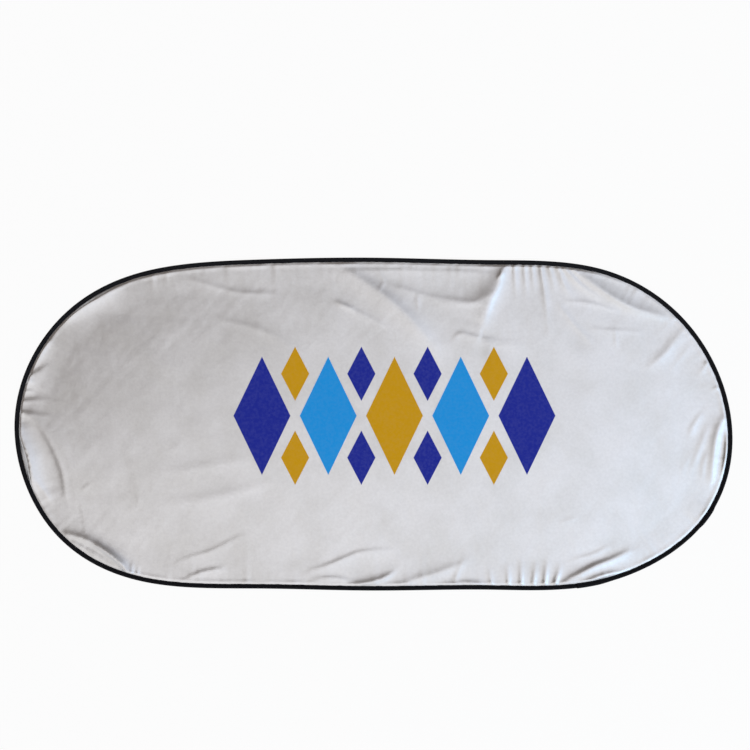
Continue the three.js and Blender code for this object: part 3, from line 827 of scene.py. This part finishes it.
# %% Silver cloth
SILVER = "#D2D3D7"
SILVER_WORN = "#C2C1BF"
SILVER_METAL = 0.88
SILVER_ROUGH = (0.3, 0.4)       # lowest and highest, from patch to patch
INK_ROUGHER = 0.2
INK_GLOSS = 0.12
SILVER_GLOSS = 0.5
WEAVE_PITCH = 2.0 * MM
WEAVE_DEPTH = 0.1 * MM
WEAVE_SHOWS = 0.12
PATCH_SIZE = 90 * MM
PATCH_VALUES = (0.42, 0.7)      # noise at which the wear starts and is full
MOST_WORN = 0.35
GRAIN_SIZE = 5 * MM
SPECKLE = (0.955, 1.03)         # darkest and lightest, as shares of the colour
INK_COVER = 0.965               # least cover of the ink, between the threads
CRUMPLE_SIZE = 36 * MM
CRUMPLE_DEPTH = 2.2 * MM
CRUMPLE_SHOWS = 0.11
WAVE_PITCH = math.pi / 10       # from band to band of a wave texture at scale one


def weave_height(tree, vector):
    """Two crossing sets of threads."""
    warp, weft = (
        add_node(tree, "ShaderNodeTexWave",
                 {"Vector": vector, "Scale": WAVE_PITCH / WEAVE_PITCH, "Distortion": 0.6,
                  "Detail": 1.0, "Detail Scale": 2.0},
                 wave_type="BANDS", bands_direction=direction).outputs["Fac"]
        for direction in ("X", "Y")
    )
    return add_node(tree, MATH, (warp, weft), operation="ADD")


def silver_taffeta(tree):
    position = add_node(tree, "ShaderNodeTexCoord").outputs["Object"]
    patches = add_node(tree, NOISE, {"Vector": position, "Scale": 1 / PATCH_SIZE, "Detail": 3.0})
    grain = add_node(tree, NOISE, {"Vector": position, "Scale": 1 / GRAIN_SIZE, "Detail": 4.0})
    worn = add_node(tree, RANGE, {"Value": patches, "From Min": PATCH_VALUES[0],
                                  "From Max": PATCH_VALUES[1], "To Max": MOST_WORN})
    silver = add_node(tree, MIX, {0: worn, 6: linear(SILVER), 7: linear(SILVER_WORN)}, data_type="RGBA")
    speckle = add_node(tree, RANGE, {"Value": grain, "From Min": 0.3, "From Max": 0.7,
                                     "To Min": SPECKLE[0], "To Max": SPECKLE[1]})
    silver = add_node(tree, VECTOR_MATH, {0: silver, "Scale": speckle}, operation="SCALE")
    mask, ink = lozenge_print(tree, position)
    cover = add_node(tree, RANGE, {"Value": grain, "From Min": 0.25, "From Max": 0.6, "To Min": INK_COVER})
    inked = add_node(tree, MATH, (mask, cover), operation="MULTIPLY")
    colour = add_node(tree, MIX, {0: inked, 6: silver, 7: ink}, data_type="RGBA")
    metal = add_node(tree, RANGE, {"Value": mask, "To Min": SILVER_METAL, "To Max": 0.0})
    gloss = add_node(tree, RANGE, {"Value": mask, "To Min": SILVER_GLOSS, "To Max": INK_GLOSS})
    rough = add_node(tree, RANGE, {"Value": patches, "To Min": SILVER_ROUGH[0], "To Max": SILVER_ROUGH[1]})
    rough = add_node(tree, MATH, (mask, INK_ROUGHER, rough), operation="MULTIPLY_ADD")
    threads = add_node(tree, BUMP, {"Height": weave_height(tree, position),
                                    "Strength": WEAVE_SHOWS, "Distance": WEAVE_DEPTH})
    crumple = add_node(tree, NOISE, {"Vector": position, "Scale": 1 / CRUMPLE_SIZE, "Detail": 6.0,
                                     "Roughness": 0.55, "Distortion": 0.8})
    bump = add_node(tree, BUMP, {"Height": crumple, "Strength": CRUMPLE_SHOWS,
                                 "Distance": CRUMPLE_DEPTH, "Normal": threads})
    return add_node(tree, COATING, {"Base Color": colour, "Metallic": metal, "Roughness": rough,
                                    "Specular IOR Level": gloss, "Normal": bump})


cloth.data.materials.append(finished("silver_coated_taffeta", silver_taffeta))
print(f"silver cloth, weave drawn {WEAVE_PITCH / MM:.1f} mm apart")

# %% [markdown]
# ## Back of the cloth
# The back of the taffeta is bare polyester: pale grey, dull and no metal. Only its weave
# and a little unevenness of the dye show.

# %% Back of the cloth
BACK_DARK = "#A9AAAD"
BACK_LIGHT = "#B6B7BA"


def bare_polyester(tree):
    position = add_node(tree, "ShaderNodeTexCoord").outputs["Object"]
    grain = add_node(tree, NOISE, {"Vector": position, "Scale": 1 / GRAIN_SIZE, "Detail": 3.0})
    colour = add_node(tree, MIX, {0: grain, 6: linear(BACK_DARK), 7: linear(BACK_LIGHT)}, data_type="RGBA")
    bump = add_node(tree, BUMP, {"Height": weave_height(tree, position), "Strength": 0.3,
                                 "Distance": 1.2 * WEAVE_DEPTH})
    return add_node(tree, COATING, {"Base Color": colour, "Metallic": 0.1, "Roughness": 0.7,
                                    "Normal": bump})


cloth.data.materials.append(finished("bare_polyester_back", bare_polyester))
print(f"back of the cloth {BACK_DARK} to {BACK_LIGHT}")

# %% [markdown]
# ## Tape and thread
# The tape is grosgrain, a weave with ribs across it. They are a wave along the tape's own
# UV map, so they follow it round the rim, and are drawn twice as coarse as real ones. A
# fine noise is the fuzz of the yarn. The tape's colour is a little lighter on the rib tops,
# which is painted sheen, and patchy with the fuzz. The thread is spun polyester, with a
# soft shine and a ply that shows as light and dark along it.

# %% Tape and thread
RIB_PITCH = 2.2 * MM
RIB_DEPTH = 0.15 * MM
FUZZ_SIZE = 2 * MM
PLY_SIZE = 0.8 * MM


def grosgrain_tape(tree):
    place = add_node(tree, "ShaderNodeUVMap", uv_map="tape")
    position = add_node(tree, "ShaderNodeTexCoord").outputs["Object"]
    ribs = add_node(tree, "ShaderNodeTexWave",
                    {"Vector": place, "Scale": WAVE_PITCH / RIB_PITCH, "Distortion": 0.4, "Detail": 1.0},
                    wave_type="BANDS", bands_direction="X").outputs["Fac"]
    fuzz = add_node(tree, NOISE, {"Vector": position, "Scale": 1 / FUZZ_SIZE, "Detail": 4.0})
    # painted sheen: the colour is lighter on the rib tops, and patchy with the yarn's fuzz
    rib_sheen_and_fuzz = add_node(tree, MATH, (ribs, fuzz), operation="MULTIPLY")
    colour = add_node(tree, MIX, {0: rib_sheen_and_fuzz, 6: linear("#08080C"), 7: linear("#15151C")}, data_type="RGBA")
    bump = add_node(tree, BUMP, {"Height": ribs, "Strength": 0.5, "Distance": RIB_DEPTH})
    return add_node(tree, COATING, {"Base Color": colour, "Roughness": 0.6,
                                    "Specular IOR Level": 0.12, "Normal": bump})


def spun_thread(tree):
    position = add_node(tree, "ShaderNodeTexCoord").outputs["Object"]
    ply = add_node(tree, NOISE, {"Vector": position, "Scale": 1 / PLY_SIZE, "Detail": 2.0})
    colour = add_node(tree, MIX, {0: ply, 6: linear("#0C0C11"), 7: linear("#202028")}, data_type="RGBA")
    return add_node(tree, COATING, {"Base Color": colour, "Roughness": 0.45, "Specular IOR Level": 0.2})


binding.data.materials.append(finished("black_grosgrain_tape", grosgrain_tape))
print(f"tape ribs {RIB_PITCH / MM:.1f} mm apart")

# %% [markdown]
# ## Steel
# The band is blued spring steel and the ferrule is zinc-plated. Both are hidden in the
# fold, and are finished all the same. Their shapes in the frame are right, so only
# their material changes. The marks are those of rolling and of tumbled plating.

# %% Steel
BRUSH_SIZE = 0.6 * MM
STEELS = {
    "frame_band": ("blued_spring_steel", "#3E434C", "#5A606B", (0.27, 0.45)),
    "band_ferrule": ("zinc_plated_steel", "#A9ADB2", "#C4C7CB", (0.32, 0.5)),
}


def steel(tree, dark, light, roughness):
    position = add_node(tree, "ShaderNodeTexCoord").outputs["Object"]
    marks = add_node(tree, NOISE, {"Vector": position, "Scale": 1 / BRUSH_SIZE, "Detail": 5.0})
    colour = add_node(tree, MIX, {0: marks, 6: linear(dark), 7: linear(light)}, data_type="RGBA")
    rough = add_node(tree, RANGE, {"Value": marks, "To Min": roughness[0], "To Max": roughness[1]})
    return add_node(tree, COATING, {"Base Color": colour, "Metallic": 1.0, "Roughness": rough})


for node_name, (finish, *values) in STEELS.items():
    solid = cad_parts[node_name]
    solid.data.materials.clear()
    solid.data.materials.append(finished(finish, steel, *values))
print("steel pieces:", ", ".join(STEELS))

# %% [markdown]
# ## Sewing
# The seam line gets the stitch tree as a modifier, whose inputs are set by the identifier
# of each socket before it first runs. Its result is kept as a plain mesh.

# %% Make the stitches
STITCH_TURN = math.radians(5)
STITCH_SEED = 11

seam = seam_curve()
tree = stitch_tree()
modifier = seam.modifiers.new("stitches", "NODES")
modifier.node_group = tree
sockets = {item.name: item.identifier for item in tree.interface.items_tree if item.in_out == "INPUT"}
values = {
    "Pitch": STITCH_PITCH, "Stitch length": STITCH_LENGTH, "Thread radius": THREAD_RADIUS,
    "Turn": STITCH_TURN, "Seed": STITCH_SEED, "Thread": finished("spun_polyester_thread", spun_thread),
}
for name, value in values.items():
    modifier[sockets[name]] = value
evaluated = seam.evaluated_get(bpy.context.evaluated_depsgraph_get())
stitch_mesh = bpy.data.meshes.new_from_object(evaluated)
stitch_mesh.name = "seam_stitches"
stitches = in_scene("seam_stitches", stitch_mesh)
seam.modifiers.remove(modifier)
bpy.data.objects.remove(seam)
print(f"stitches: {len(stitch_mesh.polygons)} faces")

# %% [markdown]
# ## Table
# The table is plain and pale, with a low white backdrop all round it for the views from
# the side. Both are painted laminate that glows for the camera and in reflections, so
# they come out nearly pure white without more light on the shade, and keep its shadow.

# %% Table and backdrop
TABLE_RADIUS = 7
TABLE_SIDES = 48
TABLE_DROP = 0.3 * MM
BACKDROP_HEIGHT = 2.2
TABLE_WHITE = 0.82
GLOW_SHARE = 0.93

turns = np.arange(TABLE_SIDES) * 2 * math.pi / TABLE_SIDES
ring = [(TABLE_RADIUS * math.cos(turn), TABLE_RADIUS * math.sin(turn)) for turn in turns]
foot = [(x, y, -TABLE_DROP) for x, y in ring]
brim = [(x, y, BACKDROP_HEIGHT) for x, y in ring]
table = new_object("table", foot, [list(range(TABLE_SIDES))], smooth=False)
panels = [[(side + 1) % TABLE_SIDES, side, side + TABLE_SIDES, (side + 1) % TABLE_SIDES + TABLE_SIDES]
          for side in range(TABLE_SIDES)]
backdrop = new_object("backdrop", foot + brim, panels)


def white_laminate(tree):
    ray = add_node(tree, "ShaderNodeLightPath").outputs
    white = (TABLE_WHITE, TABLE_WHITE, TABLE_WHITE, 1)
    paint = add_node(tree, COATING, {"Base Color": white, "Roughness": 0.8})
    glow = add_node(tree, "ShaderNodeEmission", {"Color": (1, 1, 1, 1), "Strength": 1.0})
    looked_at = add_node(tree, MATH, (ray["Is Camera Ray"], ray["Is Glossy Ray"]), operation="MAXIMUM")
    looked_at = add_node(tree, MATH, (looked_at, ray["Is Transmission Ray"]), operation="MAXIMUM")
    seen = add_node(tree, MATH, (looked_at, GLOW_SHARE), operation="MULTIPLY")
    return add_node(tree, "ShaderNodeMixShader", (seen, paint, glow))


laminate = finished("matt_white_laminate", white_laminate)
for staged in (table, backdrop):
    staged.data.materials.append(laminate)
print(f"table {2 * TABLE_RADIUS} m across")

# %% [markdown]
# ## Light
# The shade lies in a pale room with a window on its right, which is one large soft lamp,
# a little blue. The rest of the light is the room itself, given as the world's colour in
# each direction: white overhead, bluish towards the window, and brown and dim in the far
# left corner. Half-metal cloth shows what it faces. So the side of a fold that faces
# that corner is dark, the other side is bright, and the flat cloth grows darker towards
# the upper left.

# %% Window
WINDOW_POWER = 16
WINDOW_SIZE = 1.8
WINDOW_PLACE = (1.9, -1.1, 1.5)
WINDOW_COLOUR = (0.42, 0.74, 1.0)

window_data = bpy.data.lights.new("window", "AREA")
window_data.energy = WINDOW_POWER
window_data.size = WINDOW_SIZE
window_data.color = WINDOW_COLOUR
window = in_scene("window", window_data)
window.location = WINDOW_PLACE
window.rotation_euler = (-window.location).to_track_quat("-Z", "Y").to_euler()
print(f"window lamp {WINDOW_POWER} W")

# %% [markdown]
# How far a direction points towards the dim corner is its dot product with the way
# there. A Map Range node turns that into gloom between a start and an end, and a second
# one does the same for the blue near the window. A third dims the room towards the floor.

# %% Room
LIT_ROOM = (1.40, 1.345, 1.285, 1)
LIT_NEAR_WINDOW = (1.28, 1.31, 1.39, 1)
DARK_CORNER = (0.14, 0.095, 0.06, 1)
WAY_TO_CORNER = (-0.62, 0.78, 0)
GLOOM_START = 0.0
GLOOM_END = 0.28
BLUE_START = -0.05
BLUE_END = 0.3
HORIZON_SHARE = 0.45            # brightness at the floor's level, as a share of overhead

world = bpy.data.worlds.new("room")
world.use_nodes = True
bpy.context.scene.world = world
tree = world.node_tree
tree.nodes.clear()
way_out = add_node(tree, "ShaderNodeTexCoord").outputs["Generated"]
toward = add_node(tree, VECTOR_MATH, (way_out, WAY_TO_CORNER), operation="DOT_PRODUCT")
gloom = add_node(tree, RANGE, {"Value": toward, "From Min": GLOOM_START, "From Max": GLOOM_END})
ways = add_node(tree, "ShaderNodeSeparateXYZ", (way_out,)).outputs
blue = add_node(tree, RANGE, {"Value": ways["X"], "From Min": BLUE_START, "From Max": BLUE_END})
lit = add_node(tree, MIX, {0: blue, 6: LIT_ROOM, 7: LIT_NEAR_WINDOW}, data_type="RGBA")
colour = add_node(tree, MIX, {0: gloom, 6: lit, 7: DARK_CORNER}, data_type="RGBA")
level = add_node(tree, RANGE, {"Value": ways["Z"], "To Min": HORIZON_SHARE})
room = add_node(tree, "ShaderNodeBackground", {"Color": colour, "Strength": level})
add_node(tree, "ShaderNodeOutputWorld", (room,))
bpy.context.scene.view_settings.view_transform = "Standard"
print("materials:", sorted(material.name for material in bpy.data.materials))

# %% [markdown]
# ## Hand over
# The cloth, the tape and the stitches ride on the one body of the shade. The cloth
# stands for the plain panel and for the print's films.

# %% Hand over
print_nodes = [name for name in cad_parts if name.startswith("print_")]
for piece in (cloth, binding, stitches):
    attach(piece, "root")
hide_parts("fabric_panel", *print_nodes)
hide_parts("edge_binding")
